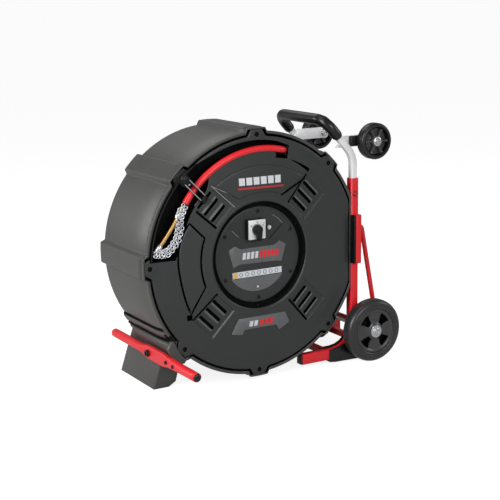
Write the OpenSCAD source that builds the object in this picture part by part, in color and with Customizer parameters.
// Wheeled drum machine for drain cleaning: a closed drum housing on a two-wheeled
// upright frame, a powered cable reel inside, and a sheathed flexible shaft whose
// chain tip is stowed in a tray in the front cover.
// Drum frame used while drawing: drum axis along Y, front cover boss plane at y = 0,
// +Y to the back, +X towards the wheels, +Z up.

/* [Drum housing] */
// Radius of the circle of cover bosses
boss_circle_r = 285; // [284:0.5:286]
// Outer radius of the rear shell
shell_r = 291; // [290:0.5:292]
// Depth of the rear shell behind the boss plane
shell_depth = 247; // [240:1:255]
// Wall thickness of the rear shell
shell_wall = 4; // [3:0.5:5]
// Distance of the flat wheel side from the drum axis
flat_x = 270; // [268:0.5:272]
// Height of the drum axis above the floor
axis_height = 310; // [306:1:314]
// How far the ribs stand out, as an outer radius
rib_r = 302; // [300:0.5:304]

/* [Front cover] */
// Outer radius of the cover between bosses
cover_r = 281; // [279:0.5:282]
// Forward crown of the cover at the hub opening
crown = 12; // [9:0.5:14]
// Depth of the hose channel
channel_depth = 20; // [18:0.5:22]
// Depth of the stowage tray
tray_depth = 40; // [34:1:42]
// Number of slots in each vent group
vent_slots = 3; // [2:1:3]

/* [Hub] */
// Radius of the hub cover disc
hub_r = 116; // [112:0.5:117]
// Radius of the hub screw circle
hub_screw_circle_r = 104; // [100:0.5:106]
// Side of the square switch face plate
switch_side = 48; // [44:1:50]

/* [Hose and shaft] */
// Outer radius of the red sheath
sheath_or = 8; // [7:0.25:8.25]
// Radius of the flexible shaft inside the sheath
shaft_r = 4; // [3.5:0.25:4.5]

/* [Reel] */
// Outer radius of the reel core
core_r = 140; // [130:1:150]
// Outer radius of the reel flanges
reel_r = 262; // [255:1:264]
// Module of the drive gears
gear_m = 2; // [1.5:0.5:2]
// Teeth on the motor gear
sun_teeth = 24; // [24:12:24]
// Teeth on the take-off gear
planet_teeth = 18; // [15:1:20]

/* [Frame] */
// Outer width of the square frame posts
post_w = 22; // [20:1:24]
// Wall thickness of the frame tubes
tube_wall = 2; // [1.5:0.5:2.5]
// Height of the top of the posts above the drum axis
post_top = 157; // [150:1:160]
// Middle depth of the whole frame
mid_y = 118; // [116:1:120]

/* [Wheels] */
// Radius of the floor wheels
wheel_r = 80; // [78:1:80]
// Width of the floor wheels
wheel_w = 40; // [36:1:40]
// Distance of the axle from the drum axis along X
axle_x = 319; // [316:1:322]
// Radius of the small upper wheels
small_r = 45; // [42:1:46]
// Width of the small upper wheels
small_w = 28; // [24:1:28]

/* [Handle] */
// Side of the square handle tube
leg_w = 16; // [14:1:16]
// Radius of the soft grip
grip_r = 13.5; // [12.5:0.5:14]

/* [Hidden] */
$fn = 64;
gap = 0.05;     // radial clearance around shafts
slit = 0.02;    // clearance between faces that meet

shell_grey = [0.36, 0.36, 0.35];
frame_red = [0.85, 0.1, 0.1];
black = [0.05, 0.05, 0.05];

boss_angles = [45:45:315];
quarter_angles = [45:90:315];
eighth_angles = [22.5:45:337.5];

post_x = flat_x + 0.5 + post_w / 2;
post_outer_x = post_x + post_w / 2;
front_y = post_w / 2;
frame_depth = 2 * mid_y;
bar_y0 = -131;  // front and back ends of the foot bar
bar_y1 = 314;
centre_x = (axle_x + wheel_r - rib_r) / 2;
centre_y = (bar_y0 + bar_y1) / 2;

// ---------- helpers ----------
// from the drum frame to a centred footprint with the floor at z = 0
module placed() { translate([-centre_x, -centre_y, axis_height]) children(); }
// children are drawn in a front view (X, Z) and extruded from depth y0 to y1
module prism(y0, y1) {
  translate([0, y0, 0]) rotate([90, 0, 0]) mirror([0, 0, 1]) linear_extrude(y1 - y0) children();
}
// children are a (radius, depth) profile turned about the drum axis
module turned(sweep = 360) {
  rotate([90, 0, 0]) mirror([0, 0, 1]) rotate_extrude(angle = sweep, $fn = 96) children();
}
// repeats children about the drum axis, angles counted from +X towards +Z
module around(angles) { for (a = angles) rotate([0, -a, 0]) children(); }
module disc(radius, y0, y1, x = 0, z = 0) { translate([x, 0, z]) prism(y0, y1) circle(radius); }
// coaxial discs, each [radius, front y, back y]
module discs(steps, x = 0, z = 0) { for (s = steps) disc(s[0], s[1], s[2], x, z); }
module ring(inner, outer, y0, y1) {
  prism(y0, y1) difference() {
    circle(outer);
    circle(inner);
  }
}
function span(half, centre = 0) = [centre - half, centre + half];
// box given by its [from, to] ranges
module block(xs, ys, zs) {
  translate([xs[0], ys[0], zs[0]]) cube([xs[1] - xs[0], ys[1] - ys[0], zs[1] - zs[0]]);
}
module ring_sector(inner, outer, from, to) {
  reach = 1.4 * outer;
  intersection() {
    difference() {
      circle(outer, $fn = 128);
      circle(inner, $fn = 128);
    }
    polygon(concat([[0, 0]],
      [for (i = [0:4]) let(a = from + (to - from) * i / 4) reach * [cos(a), sin(a)]]));
  }
}
module left_of(x) { translate([-400, -400]) square([400 + x, 800]); }
module rounded_rect(width, height, corner) {
  for (sx = [-1, 1], sy = [-1, 1])
    translate([sx * (width / 2 - corner), sy * (height / 2 - corner)]) circle(corner, $fn = 24);
  square([width - 2 * corner, height], center = true);
  square([width, height - 2 * corner], center = true);
}
// corners are the [outer, inner] corner radii
module tube_section(width, height, wall, corners) {
  difference() {
    rounded_rect(width, height, corners[0]);
    rounded_rect(width - 2 * wall, height - 2 * wall, corners[1]);
  }
}
// moves +Z from the origin onto the line from start towards end
module along(start, end) {
  way = end - start;
  translate(start) rotate([0, acos(way[2] / norm(way)), atan2(way[1], way[0])]) children();
}
module rod(start, end, radius) {
  along(start, end) cylinder(r = radius, h = norm(end - start), $fn = 32);
}
module back_side() { translate([0, frame_depth, 0]) mirror([0, 1, 0]) children(); }
module both_sides() {
  children();
  back_side() children();
}

// ---------- drum housing ----------
shell_inner_r = shell_r - shell_wall;
ledge_r = 277;              // front opening of the rear shell
spindle_bolt_r = 34;        // circle of the spindle bolts
inlet_z = -140;

// a disc with a tapered tab (the child) at each boss, cut flat on the wheel side
module lobed(radius, flat) {
  intersection() {
    union() {
      circle(radius, $fn = 180);
      for (a = boss_angles) rotate(a) children();
    }
    left_of(flat);
  }
}
module tab(inner, outer, inner_half, outer_half) {
  polygon([[inner, -inner_half], [outer, -outer_half], [outer, outer_half], [inner, inner_half]]);
}
module shell_outline(grow = 0) {
  lobed(shell_r + grow, flat_x) tab(270, rib_r + grow, 33 + grow, 24 + grow);
}
module cover_outline(grow = 0) {
  lobed(cover_r + grow, flat_x - 0.5 + grow) tab(268, 298 + grow, 29 + grow, 14 + grow);
}
// rib with its two long edges and its back end chamfered
module shell_rib() {
  difference() {
    block([240, rib_r], [22, shell_depth - 3], span(25));
    for (s = [-1, 1])
      translate([rib_r, 0, s * 27]) rotate([0, s * 45, 0]) cube([12, 600, 12], center = true);
    translate([rib_r, shell_depth - 3, 0]) rotate([0, 0, 45]) cube([14, 14, 90], center = true);
  }
}
module rear_shell() color(shell_grey) placed() difference() {
  union() {
    prism(5, 30) shell_outline();
    prism(1, 5) difference() {
      shell_outline();
      cover_outline(0.6);
    }
    intersection() {
      union() {
        turned() polygon([[0, 20], [shell_r, 20], [shell_r, shell_depth - 10],
          [shell_r - 4, shell_depth - 4], [shell_r - 12, shell_depth], [0, shell_depth]]);
        around(boss_angles) shell_rib();
      }
      prism(0, 300) left_of(flat_x);
    }
    // raised ring and spokes on the back wall
    ring(96, 104, shell_depth - 1, shell_depth + 3);
    around(eighth_angles) block([103, 262], [shell_depth - 1, shell_depth + 2.5], span(5));
  }
  // front opening, main cavity in two steps and hollow ribs
  prism(4, 9.5) intersection() {
    circle(ledge_r);
    left_of(flat_x - 10);
  }
  for (cavity = [[shell_inner_r, 12], [shell_inner_r - 9, 4]])
    prism(9, shell_depth - cavity[1]) intersection() {
      circle(cavity[0], $fn = 180);
      left_of(flat_x - shell_wall);
    }
  around(boss_angles) block([276, rib_r - shell_wall], [34, shell_depth - 14], span(18));
  // cover screw holes, spindle bolt holes and power inlet opening
  around(boss_angles) disc(2.1, 0, 26, x = boss_circle_r);
  around(quarter_angles) disc(3.2, shell_depth - 8, shell_depth + 5, x = spindle_bolt_r);
  block(span(26), [shell_depth - 8, shell_depth + 5], span(18, inlet_z));
}

// ---------- front cover ----------
tray_outer_r = 273.5;
channel_inner_r = 241;
hose_centre = [15, 3, 4];   // the stowed hose lies on an arc about this point
hose_arc_r = 246.5;
carrier_screw_r = 125;      // circle of the screws from carrier to cover
hub_screw_angles = [30:60:330];

// floor plan of the hose channel, and of the wider tray for the chain tip
module channel_plan(grow = 0) {
  ring_sector(channel_inner_r - grow, 263.5 + grow, 72 - grow / 4, 131);
  translate([hose_centre[0], hose_centre[2]])
    ring_sector(hose_arc_r - 9.2 - grow, hose_arc_r + 9 + grow, 82, 133);
}
module tray_plan(grow = 0) {
  ring_sector(214 - grow, tray_outer_r + grow, 129 - grow / 4, 177 + grow / 4);
}
module vent_group() {
  for (k = [0:vent_slots - 1]) translate([155 + 25 * k, 0]) rounded_rect(9, 50, 3.5);
}
module front_cover() color([0.15, 0.16, 0.16]) placed() difference() {
  union() {
    intersection() {
      union() {
        // [radius, y]: front face outwards from the hub well, then back inwards
        turned() polygon([
          [118.5, 2], [127, -crown + 2], [129, -crown], [136, -crown], [250, -2], [262, 0],
          [cover_r + 20, 0], [cover_r + 20, 4], [262, 4], [250, 2.5], [136, -crown + 4.5],
          [133, -crown + 5], [131, -2], [131, 6], [118.5, 6]]);
      }
      prism(-20, 20) cover_outline();
    }
    // walls of the hose channel and the stowage tray
    prism(2, channel_depth + 2.5) channel_plan(2.5);
    prism(2, tray_depth + 2.5) tray_plan(2.5);
    around(boss_angles) disc(7, 0, 4, x = boss_circle_r);
  }
  prism(-20, channel_depth) channel_plan();
  prism(-20, tray_depth) tray_plan();
  around(boss_angles) discs([[2.6, -2, 8], [5, -2, 2.5]], x = boss_circle_r);
  for (a = quarter_angles) prism(-20, 20) rotate(a) vent_group();
  // carrier screw holes in the hub well flange
  around(hub_screw_angles) disc(2.1, 3, 8, x = carrier_screw_r);
}
module cover_gasket() color(black) placed() prism(4 + slit, 5 - slit) intersection() {
  difference() {
    circle(280.5, $fn = 180);
    circle(ledge_r + 0.5, $fn = 180);
  }
  left_of(flat_x - 1);
}
module cover_screws() color([0.1, 0.1, 0.1]) placed()
  around(boss_angles) discs([[4.4, 0.6, 2.48], [2.05, 2.4, 20]], x = boss_circle_r);

// ---------- hub ----------
module at_switch() { translate([-8.5, 0, 62.5]) children(); }
module at_lamp() { translate([31, 0, 62]) children(); }

module hub_cover() color([0.14, 0.15, 0.15]) placed() difference() {
  union() {
    prism(0, 4) circle(hub_r, $fn = 128);
    // rim on the back face
    turned() polygon([[hub_r - 4, 3.9], [hub_r, 3.9], [hub_r, 5.9], [hub_r - 4, 5.9]]);
  }
  around(hub_screw_angles) discs([[2.2, -1, 6], [4, -1, 1.6]], x = hub_screw_circle_r);
  at_switch() block(span(20.2), [-1, 5], span(20.2));
  at_lamp() disc(5 + gap, -1, 7);
}
module hub_screws() color([0.2, 0.2, 0.2]) placed() around(hub_screw_angles) {
  discs([[3.8, -0.4, 1.58], [2.05, 1.5, 14]], x = hub_screw_circle_r);
  discs([[2.05, 3.05, 10.1], [4, 10 + slit, 13]], x = carrier_screw_r);
}
module hub_carrier() color([0.25, 0.25, 0.26]) placed() difference() {
  union() {
    ring(92, 130, 6 + slit, 10);
    ring(92, 110.5, 10, 20);
    ring(92, 96, 10, 70);
    disc(96, 66, 70);
  }
  around(hub_screw_angles) {
    disc(2.1, 5, 16, x = hub_screw_circle_r);
    disc(2.1, 5, 12, x = carrier_screw_r);
  }
  disc(30, 60, 75);
}

// ---------- motor and gears ----------
gear_shaft_r = 5;
gear_distance = gear_m * (sun_teeth + planet_teeth) / 2 + 0.35;

module at_pinion() { translate([-gear_distance, 0, 0]) children(); }
// gear outline with straight flanks
module gear_outline(teeth) {
  pitch_r = gear_m * teeth / 2;
  root_r = pitch_r - 1.2 * gear_m;
  tip_r = pitch_r + 0.92 * gear_m;
  step = 360 / teeth;
  root_half = step / 4 + 8 * gear_m / pitch_r;
  tip_half = step / 8 - 2 * gear_m / pitch_r;
  // [radius, angle] of the four corners of a tooth
  tooth = [[root_r, -root_half], [tip_r, -tip_half], [tip_r, tip_half], [root_r, root_half]];
  polygon([for (i = [0:teeth - 1], corner = tooth)
    let(a = step * i + corner[1]) corner[0] * [cos(a), sin(a)]]);
}
module motor_body() color([0.2, 0.22, 0.25]) placed() difference() {
  union() {
    discs([[44, 70 + slit, 76], [40, 76, 150], [28, 40, 70 + slit], [18, 150, 156]]);
    // cooling fins
    around([15:30:345]) block([39, 43], [82, 144], span(1.5));
  }
  disc(gear_shaft_r + gap, 140, 160);
}
module drive_gear() color([0.62, 0.6, 0.55]) placed() union() {
  prism(162, 176) gear_outline(sun_teeth);
  disc(gear_shaft_r, 142, 163);
}
module reel_pinion() color([0.7, 0.68, 0.6]) placed() at_pinion() union() {
  // an even gear turns half a tooth so that a space faces the motor gear
  prism(162.5, 175.5) rotate(planet_teeth % 2 == 0 ? 180 / planet_teeth : 0)
    gear_outline(planet_teeth);
  disc(gear_shaft_r, 175, 214);
}
module cable_coupling() color([0.75, 0.75, 0.76]) placed() at_pinion()
  ring(gear_shaft_r + slit, 9, 212.6, 228);

// ---------- reel ----------
bearing_outer_r = 26;
spindle_r = 15;
reel_back_y = 228;          // back end of the reel core

module reel_core() color([0.3, 0.3, 0.31]) placed() difference() {
  union() {
    ring(core_r - 4, core_r, 58, reel_back_y);
    ring(28, core_r - 3, 204, 210);
    ring(bearing_outer_r + slit, 33, 196, 230);
    at_pinion() disc(11, 186, 212);
    around([0:45:315]) block([32, core_r - 3], [209, 222], span(2));
  }
  disc(bearing_outer_r + slit, 190, 235);
  at_pinion() discs([[gear_shaft_r + gap, 180, 216], [12, 212, 230]]);
  around(eighth_angles) disc(20, 200, 214, x = 88);
}
module reel_flanges() color([0.28, 0.28, 0.29]) placed()
  for (y = [54, reel_back_y + slit]) difference() {
    ring(core_r - 8, reel_r, y, y + 3.98);
    around([0:30:330]) disc(26, y - 1, y + 6, x = 200);
  }
module reel_bearings() color([0.72, 0.73, 0.75]) placed()
  for (y = [198, 218]) ring(spindle_r + gap, bearing_outer_r, y, y + 10);
module rear_spindle() color([0.55, 0.55, 0.57]) placed() difference() {
  discs([[48, shell_depth - 9, shell_depth - 4 - slit],
    [18, shell_depth - 14, shell_depth - 8],
    [spindle_r, 192, shell_depth - 8]]);
  around(quarter_angles) disc(2.6, shell_depth - 12, shell_depth, x = spindle_bolt_r);
}
module spindle_bolts() color([0.6, 0.6, 0.62]) placed() around(quarter_angles) {
  disc(2.55, shell_depth - 8.5, shell_depth + 1, x = spindle_bolt_r);
  translate([spindle_bolt_r, 0, 0]) prism(shell_depth, shell_depth + 4.5) circle(6, $fn = 6);
}
// three layers of ten turns, the middle layer set back half a turn
module coiled_cable() color([0.75, 0.1, 0.1]) placed()
  for (turn = [0:9], layer = [0:2])
    translate([0, 66 + 16 * turn + (layer % 2) * 8, 0]) turned()
      translate([core_r + 8.4 + 15 * layer, 0]) circle(sheath_or - 0.2, $fn = 32);

// ---------- stowed hose and chain tip ----------
sheath_end_a = 147;
// the bare shaft leaves the hose arc, bends at the knee and ends at the tip
shaft_exit = hose_centre + hose_arc_r * [cos(148), 0, sin(148)];
shaft_knee = [-205, 12, 112];
shaft_tip = [-258, 20, 42];
// each chain runs straight down, then round a bend centred at [x, z]
chain_bend = [-245.6, 81.8];
chain_bend_r = 40;
link_pitch = 5.4;
link_step = 7.72;           // degrees between links on the bend

module hose_arc(inner, outer, from, to) {
  translate(hose_centre) rotate([0, -from, 0]) turned(to - from)
    translate([hose_arc_r, 0]) difference() {
      circle(outer, $fn = 32);
      if (inner > 0) circle(inner, $fn = 32);
    }
}
module outlet_guide() color([0.04, 0.04, 0.04]) placed() difference() {
  prism(-1.5, 16) ring_sector(channel_inner_r, 262.5, 73.2, 76.6);
  hose_arc(0, sheath_or + 0.4, 0, 360);
}
module sheath_end() color([0.85, 0.08, 0.1]) placed()
  hose_arc(5.2, sheath_or, 75.8, sheath_end_a);
module flex_shaft() color([0.72, 0.5, 0.28]) placed() union() {
  hose_arc(0, shaft_r, 76.5, sheath_end_a + 1.2);
  rod(shaft_exit, shaft_knee, shaft_r - 0.4);
  rod(shaft_knee, shaft_tip, shaft_r - 0.8);
  translate(shaft_knee) sphere(shaft_r - 0.2);
  translate(shaft_exit) sphere(shaft_r - 0.1);
}
// sleeve over part of a rod; from and to are fractions of its length
module collar(start, end, from, to, inner, outer) {
  whole = norm(end - start);
  long = (to - from) * whole;
  along(start, end) translate([0, 0, from * whole]) difference() {
    cylinder(r = outer, h = long, $fn = 40);
    translate([0, 0, -1]) cylinder(r = inner, h = long + 2, $fn = 40);
  }
}
module knocker_collars() color([0.75, 0.76, 0.78]) placed() {
  collar(shaft_exit, shaft_knee, 0.2, 0.8, shaft_r - 0.38, 8.5);
  collar(shaft_knee, shaft_tip, 0.8, 0.96, shaft_r - 0.78, 7.5);
}
// round link; every second one is turned a quarter about the chain
module chain_link(place, heading, k) {
  translate(place) rotate([0, heading, 0]) rotate([k % 2 == 0 ? 90 : 0, 0, 0])
    rotate_extrude($fn = 24) translate([3.9, 0]) circle(0.85, $fn = 16);
}
module knocker_chains() color([0.8, 0.81, 0.83]) placed() for (y = [4.5, 20.5]) {
  for (k = [0:3])
    chain_link([chain_bend[0] + chain_bend_r, y, chain_bend[1] + link_pitch * (4 - k)], 90, k);
  for (k = [0:11]) let(a = k * link_step)
    chain_link([chain_bend[0] + chain_bend_r * cos(a), y, chain_bend[1] - chain_bend_r * sin(a)],
      90 + a, k);
}

// ---------- latch that crosses the hose at the upper left boss ----------
latch_angle = [135];
latch_pin_x = 281;
latch_pin_r = 4;
arm_back_y = -6.65;

module latch_base() color([0.06, 0.06, 0.06]) placed() around(latch_angle) difference() {
  union() {
    block([272, 290], [-6.6, -0.05], span(9));
    discs([[latch_pin_r, -15, -6], [8, -16.5, -14.05]], x = latch_pin_x);
  }
  disc(5, -3, 2, x = boss_circle_r);
}
module latch_arm() color([0.1, 0.1, 0.1]) placed() around(latch_angle) difference() {
  union() {
    discs([[9.5, -10, arm_back_y], [7, -14, arm_back_y]], x = latch_pin_x);
    block([206, latch_pin_x], [-9, arm_back_y], span(8.5));
    // side flanges and end lip
    for (zs = [[-8.5, -6.7], [6.7, 8.5]]) block([206, 272], [-13.5, arm_back_y], zs);
    block([203, 208], [-13.5, arm_back_y], span(8.5));
  }
  disc(latch_pin_r + gap, -20, 0, x = latch_pin_x);
}

// ---------- switch, lamp, badges and power inlet ----------
knob_shaft_r = 4;
badge_t = 0.9;              // thickness of the cover badges
// badge outlines in the front view, [x, z]
hub_emblem = [[-81, 18], [-64, 27], [-49, 18], [43, 18], [59, 27], [77, 17],
  [65, -24], [47, -21], [-52, -19], [-69, -25]];
hub_label = [[-72, -38], [-72, -94], [66, -94], [66, -38]];
cover_labels = [
  [[-80, -184], [-62, -148], [68, -148], [81, -176], [52, -191], [43, -177],
    [-45, -177], [-51, -189]],
  [[-58, 172], [62, 171], [62, 187], [-58, 188]],
  [[-60, 161], [65, 159], [65, 163.5], [-60, 165.5]]];

module switch_square(half, y0, y1) {
  at_switch() difference() {
    block(span(half), [y0, y1], span(half));
    disc(7, -20, 5);
  }
}
module switch_bezel() color(black) placed() switch_square(switch_side / 2, -9, -slit);
module switch_plate() color([0.78, 0.78, 0.8]) placed()
  switch_square(switch_side / 2 - 0.5, -10.5, -9 - slit);
module switch_body() color([0.2, 0.2, 0.2]) placed() at_switch() difference() {
  block(span(20), [0, 44], span(20));
  disc(knob_shaft_r + gap, -1, 20);
}
module switch_knob() color([0.04, 0.04, 0.04]) placed() at_switch() union() {
  discs([[11.5, -17, -10.8], [10, -22, -17], [6, -12, -0.5], [knob_shaft_r, -2, 16]]);
  // pointer
  prism(-25, -16) polygon([[-6, 6], [6, 6], [5, -22], [3, -25], [-3, -25], [-5, -22]]);
}
module indicator_lens() color([0.9, 0.92, 0.9]) placed() at_lamp()
  discs([[5, -0.5, 8], [6.2, -2.2, -slit]]);
module hub_badges() color([0.36, 0.37, 0.38]) placed() {
  prism(-0.8, -slit) polygon(hub_emblem);
  prism(-0.8, -slit) intersection() {
    translate([-4, 0]) circle(88);
    polygon(hub_label);
  }
}
// thin plates that follow the sloping crown of the cover
module cover_badges() color([0.34, 0.35, 0.36]) placed()
  for (label = cover_labels) intersection() {
    turned() polygon([[136, -crown - badge_t], [250, -2 - badge_t],
      [250, -2 - slit], [136, -crown - slit]]);
    prism(-30, 5) polygon(label);
  }
module power_inlet() color(black) placed() difference() {
  union() {
    block(span(25.8), [shell_depth - 12, shell_depth - slit], span(17.8, inlet_z));
    block(span(32), [shell_depth + slit, shell_depth + 2], span(20, inlet_z));
    block(span(25.8), [shell_depth - 2, shell_depth + 1], span(17.8, inlet_z));
  }
  block(span(13), [shell_depth - 9, shell_depth + 5], span(9, inlet_z));
}

// ---------- frame ----------
base_z = -284;              // mid height of the base tubes
base_h = 25.9;              // height of the base tubes
base_x0 = 126;
base_x1 = 386;
post_bottom = base_z + 13;
rail_x = [212, 346];        // rails that join the two base tubes
rail_w = 16;
lock_z = 118;
lock_r = 5;
axle_z = wheel_r - axis_height;
axle_r = 8;
brace_foot_z = -270.9;      // foot of the side braces and axle brackets
bracket_x = 282;            // bolts of the side brackets
bracket_bolt_z = [-30, 41];
foot_bar_x = -238.5;
foot_bar_z = -229;
brace_path = [[post_outer_x + gap - 8, 15, 32], [309, 15, 31], [316, 15, 22], [371, 15, -275]];
// front view outline of a boot, [x, z]
boot_outline = [[196, -298.5], [199, -309], [330, -309.5], [348, -300], [348, -268],
  [262, -246], [236, -252.5], [214, -258], [190, -262], [188, -269.5], [196, -272]];

module at_foot_bar() { translate([foot_bar_x, 0, foot_bar_z]) children(); }
module frame_posts() color(frame_red) placed() both_sides() difference() {
  translate([post_x, front_y, post_bottom]) linear_extrude(post_top - post_bottom)
    tube_section(post_w, post_w, tube_wall, [3, 1.5]);
  disc(lock_r + gap, -2, 6, x = post_x, z = lock_z);
}
module cross_tubes() color([0.75, 0.08, 0.08]) placed()
  for (z = [-205, 96]) translate([post_x, 0, z])
    ring(4.5, 6, post_w + slit, frame_depth - post_w - slit);
module base_tubes() color(frame_red) placed() {
  both_sides() translate([base_x0, front_y, base_z]) rotate([90, 0, 90])
    linear_extrude(base_x1 - base_x0) tube_section(post_w, base_h, tube_wall, [3, 1.5]);
  for (x = rail_x) translate([x, post_w, base_z]) rotate([-90, 0, 0])
    linear_extrude(frame_depth - 2 * post_w) tube_section(rail_w, rail_w, tube_wall, [2, 1]);
}
module tube_plugs() color(black) placed() {
  both_sides() {
    // end caps, then the parts inside the base tubes
    for (xs = [[base_x0 - 5, base_x0 - slit], [base_x1 + slit, base_x1 + 4]])
      block(xs, [1, post_w - 1], span(12, base_z));
    for (xs = [[base_x0 - 1, base_x0 + 14], [base_x1 - 12, base_x1 + 1]])
      block(xs, [2.7, post_w - 2.7], span(10.3, base_z));
  }
  at_foot_bar() discs([
    [10, bar_y0, bar_y0 + 4], [8.4, bar_y0 + 3.9, bar_y0 + 16],
    [10, bar_y1 - 4, bar_y1], [8.4, bar_y1 - 16, bar_y1 - 3.9]]);
}
module base_boots() color(black) placed() both_sides() difference() {
  prism(-1.8, post_w + 1.8) polygon(boot_outline);
  // base tube and post
  prism(-slit, post_w + slit)
    translate([150, base_z - base_h / 2 - slit]) square([300, base_h + 2 * slit]);
  prism(-slit, post_w + slit)
    translate([post_x - post_w / 2 - slit, -271.5]) square([post_w + 2 * slit, 60]);
  // rails, [x, front y, width]
  for (rail = [[rail_x[0], post_w, rail_w + 0.1], [rail_x[1], 3, 40]])
    prism(rail[1], 30) translate([rail[0], base_z] - (rail_w / 2 + gap) * [1, 1])
      square([rail[2], rail_w + 0.1]);
  // axle bracket and side brace
  prism(6, 16.1) polygon([[292.4, -275], [292.4, -180], [360, -180], [360, -275]]);
  prism(1, 22) polygon([[344, -240], [352, -275], [380, -275], [380, -240]]);
}
module axle_brackets() color([0.12, 0.12, 0.12]) placed() both_sides() difference() {
  prism(8, 14) polygon([[post_outer_x + slit, brace_foot_z], [post_outer_x + slit, -196],
    [316, -204], [336, -218], [341, -232], [343, brace_foot_z]]);
  disc(axle_r + gap, 0, 30, x = axle_x, z = axle_z);
}
module side_braces() color([0.8, 0.08, 0.08]) placed() both_sides() intersection() {
  union() {
    for (i = [0:2]) rod(brace_path[i], brace_path[i + 1], 6);
    for (i = [1, 2]) translate(brace_path[i]) sphere(6.2);
  }
  // trims the ends at the post and at the base
  prism(0, 30) polygon([[post_outer_x + gap, 100], [500, 100],
    [500, brace_foot_z], [post_outer_x + gap, brace_foot_z]]);
}
module bracket_holes() { for (z = bracket_bolt_z) disc(3.1, -15, 0, x = bracket_x, z = z); }
module side_brackets() color(frame_red) placed() both_sides() difference() {
  block([274, post_outer_x], [-13, -slit], [-56, 67]);
  block([273, post_outer_x - 3], [-10, 1], [-53, 64]);
  bracket_holes();
}
module bracket_pads() color([0.03, 0.03, 0.03]) placed() both_sides() difference() {
  block([271, post_outer_x - 3.1], [-9.9, -slit], [-52.9, 63.9]);
  bracket_holes();
}
module frame_bolts() color([0.2, 0.2, 0.2]) placed() {
  both_sides() for (z = bracket_bolt_z)
    discs([[3.05, -14, -0.1], [6, -16.5, -13 - slit]], x = bracket_x, z = z);
  // heads on the foot bar plate, [y, z, radius]
  at_foot_bar() for (head = [[106, -3, 8], [12, 0, 4.5], [-26, 0, 4.5]])
    translate([-7 - slit, head[0], head[1]]) rotate([0, -90, 0]) cylinder(r = head[2], h = 2.5);
}

// ---------- floor wheels ----------
wheel_y0 = -wheel_w - 2;    // outer face of the front wheel

module at_axle() { translate([axle_x, 0, axle_z]) children(); }
module wheel_axle() color([0.6, 0.6, 0.62]) placed() at_axle() {
  disc(axle_r, wheel_y0 - 4, frame_depth - wheel_y0 + 4);
  // spacers between wheels and brackets
  both_sides() disc(12, wheel_y0 + wheel_w + 0.3, 7.9);
}
module axle_caps() color([0.8, 0.8, 0.82]) placed() both_sides() at_axle() difference() {
  discs([[11.5, wheel_y0 - 7, wheel_y0 - 1.4], [15, wheel_y0 - 1.4, wheel_y0 - 0.2]]);
  disc(axle_r, wheel_y0 - 4, wheel_y0 + 1);
}
// dished rim with four pockets in its outer face; profile is [radius, depth]
module wheel_rim() {
  at_axle() difference() {
    translate([0, wheel_y0, 0]) turned() polygon([
      [axle_r + gap, 0], [16, 0], [20, 5], [46, 9], [50, 4], [55.9, 4],
      [55.9, 36], [50, 36], [46, 31], [20, 35], [16, 40], [axle_r + gap, 40]]);
    for (a = quarter_angles) prism(wheel_y0 - 1, wheel_y0 + 14) rotate(a)
      polygon([[25, -7], [41.5, -16.5], [45, 0], [41.5, 16.5], [25, 7]]);
  }
}
// tyre with a rounded tread; profile is [radius, depth]
module wheel_tyre() {
  at_axle() translate([0, wheel_y0, 0]) turned() polygon([
    [56, 3], [66, 0.5], [72, 1.5], [77, 5], [wheel_r, 11],
    [wheel_r, 29], [77, 35], [72, 38.5], [66, 39.5], [56, 37]]);
}
module front_wheel_rim() color([0.12, 0.12, 0.12]) placed() wheel_rim();
module front_wheel_tyre() color([0.2, 0.2, 0.2]) placed() wheel_tyre();
module rear_wheel_rim() color([0.12, 0.12, 0.12]) placed() back_side() wheel_rim();
module rear_wheel_tyre() color([0.2, 0.2, 0.2]) placed() back_side() wheel_tyre();

// ---------- telescoping handle ----------
lean = 48;                  // slope of the upper part above the horizontal
leg_bottom = -140;
knee_z = 212;
top_z = 304;
knee_bend_r = 60;
corner_bend_r = 35;
slope_len = (top_z - knee_z) / sin(lean);
knee_cut = knee_bend_r * tan((90 - lean) / 2);    // length the knee bend takes off each side
handle_wall = 1.5;

module leg_section() { tube_section(leg_w, leg_w, handle_wall, [2, 1]); }
module grip_section() {
  difference() {
    circle(grip_r);
    rounded_rect(leg_w + 0.1, leg_w + 0.1, 2);
  }
}
// local Z runs up the sloping part from the knee
module on_slope() {
  translate([post_x, front_y, knee_z]) rotate([0, -(90 - lean), 0]) children();
}
// corner bend and half of the cross bar, with the child as cross-section
module corner_and_bar() {
  translate([0, corner_bend_r, slope_len - corner_bend_r]) rotate([0, -90, 180])
    rotate_extrude(angle = 90, $fn = 96) translate([corner_bend_r, 0]) children();
  translate([0, corner_bend_r, slope_len]) rotate([-90, 0, 0])
    linear_extrude(mid_y - front_y - corner_bend_r) children();
}
module half_handle() {
  translate([post_x, front_y, leg_bottom])
    linear_extrude(knee_z - knee_cut - leg_bottom) leg_section();
  translate([post_x - knee_bend_r, front_y, knee_z - knee_cut]) rotate([90, 0, 0])
    rotate_extrude(angle = 90 - lean, $fn = 96) translate([knee_bend_r, 0])
      tube_section(leg_w + 0.2, leg_w + 0.2, handle_wall + 0.3, [2, 1]);
  on_slope() {
    translate([0, 0, knee_cut - 0.3])
      linear_extrude(slope_len - knee_cut - corner_bend_r + 0.3) leg_section();
    corner_and_bar() leg_section();
  }
}
module handle_tube() color([0.75, 0.76, 0.78]) placed() difference() {
  both_sides() half_handle();
  // slot in the outer face of each leg, around the lock button
  both_sides() block(span(5.4, post_x), [1, front_y - 4], [leg_bottom - 1, 150]);
}
module handle_grip() color([0.06, 0.06, 0.06]) placed() both_sides() on_slope() {
  translate([0, 0, slope_len - corner_bend_r - 22]) linear_extrude(22) grip_section();
  corner_and_bar() grip_section();
}

// ---------- small upper wheels ----------
small_y0 = -20;             // outer face of the front small wheel
small_bolt_r = 5;
plate_y = front_y + leg_w / 2;

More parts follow.
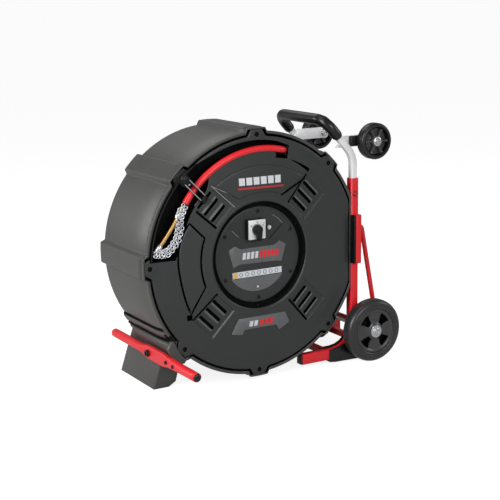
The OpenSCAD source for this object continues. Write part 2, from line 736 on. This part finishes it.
module at_small_wheel() { translate([333.5, 0, 246]) children(); }
// flat plates from the sloping legs out to the wheel bolts
module handle_plates() color([0.8, 0.81, 0.82]) placed() both_sides() difference() {
  prism(plate_y + 0.08, plate_y + 4) polygon([[232, 234], [256, 261], [342, 261],
    [347, 256], [347, 238], [342, 233], [240, 233]]);
  at_small_wheel() disc(small_bolt_r + gap, 0, 60);
}
module wheel_blocks() color(black) placed() both_sides() difference() {
  prism(small_y0 + small_w + 1, plate_y) union() {
    translate([274, 234]) square([32, 26]);
    translate([300, 236]) square([46, 20]);
  }
  at_small_wheel() disc(small_bolt_r + gap, -10, 60);
}
module small_wheel_bolts() color([0.75, 0.75, 0.77]) placed() both_sides() at_small_wheel() {
  discs([[small_bolt_r, small_y0 - 2, plate_y + 8], [8.5, small_y0 - 5, small_y0 - 1.5]]);
  prism(plate_y + 4.1, plate_y + 9) circle(8, $fn = 6);
}
// thin web with six ribs; profile is [radius, depth]
module small_wheel() {
  at_small_wheel() union() {
    translate([0, small_y0, 0]) turned() polygon([
      [small_bolt_r + gap, 0], [11, 0], [12, 11], [34, 11], [36, 1], [41, 0], [small_r, 4],
      [small_r, 24], [41, 28], [36, 27], [34, 17], [12, 17], [11, 28],
      [small_bolt_r + gap, 28]]);
    around([0:60:300]) block([10, 36], [small_y0 + 3, small_y0 + 25], span(2.5));
  }
}
module small_wheel_front() color([0.07, 0.07, 0.07]) placed() small_wheel();
module small_wheel_rear() color([0.07, 0.07, 0.07]) placed() back_side() small_wheel();
module lock_button() { discs([[lock_r, -3, 2.8], [4, -3.8, -3]], x = post_x, z = lock_z); }
module lock_button_front() color([0.6, 0.05, 0.05]) placed() lock_button();
module lock_button_rear() color([0.6, 0.05, 0.05]) placed() back_side() lock_button();

// ---------- foot ----------
// front view outlines of the two parts of the foot block, [x, z]
foot_lower = [[-254, -310], [-212, -310], [-193, -299], [-186, -285], [-160, -262],
  [-172, -180], [-214, -190], [-226, -226]];
foot_upper = [[-233.5, -247], [-186, -262], [-150, -254], [-130, -230], [-200, -130],
  [-246, -152], [-249, -162], [-238, -182], [-227.5, -216]];
// plate of the foot bar seen from the left, [distance forward, height]
foot_plate = [[48, -13], [36, -17], [-110, -17], [-140, -12], [-140, 10], [-118, 13],
  [36, 15], [48, 10]];

module foot_block() color(shell_grey) placed() difference() {
  union() {
    prism(66, 270) polygon(foot_lower);
    prism(8, 252) polygon(foot_upper);
  }
  prism(-5, 300) shell_outline(slit);
}
module foot_bar() color(frame_red) placed() difference() {
  at_foot_bar() {
    discs([[10.5, bar_y0 + 4 + slit, -42], [10.5, 134, bar_y1 - 4 - slit]]);
    rotate([90, 0, -90]) translate([0, 0, -7 + slit]) linear_extrude(14) polygon(foot_plate);
  }
  // plug holes in the ends
  at_foot_bar() discs([[8.5, bar_y0, bar_y0 + 16.1], [8.5, bar_y1 - 16.1, bar_y1]]);
  // room for the foot block
  prism(8, 270) polygon([[-230.9, -216], [-200, -150], [-150, -260], [-236, -260]]);
}

rear_shell();
front_cover();
cover_gasket();
cover_screws();
hub_cover();
hub_screws();
hub_carrier();
motor_body();
drive_gear();
reel_pinion();
cable_coupling();
reel_core();
reel_flanges();
reel_bearings();
rear_spindle();
spindle_bolts();
coiled_cable();
outlet_guide();
sheath_end();
flex_shaft();
knocker_collars();
knocker_chains();
latch_base();
latch_arm();
switch_bezel();
switch_plate();
switch_body();
switch_knob();
indicator_lens();
hub_badges();
cover_badges();
power_inlet();
frame_posts();
cross_tubes();
base_tubes();
tube_plugs();
base_boots();
axle_brackets();
side_braces();
side_brackets();
bracket_pads();
frame_bolts();
wheel_axle();
axle_caps();
front_wheel_rim();
front_wheel_tyre();
rear_wheel_rim();
rear_wheel_tyre();
handle_tube();
handle_grip();
handle_plates();
wheel_blocks();
small_wheel_bolts();
small_wheel_front();
small_wheel_rear();
lock_button_front();
lock_button_rear();
foot_block();
foot_bar();
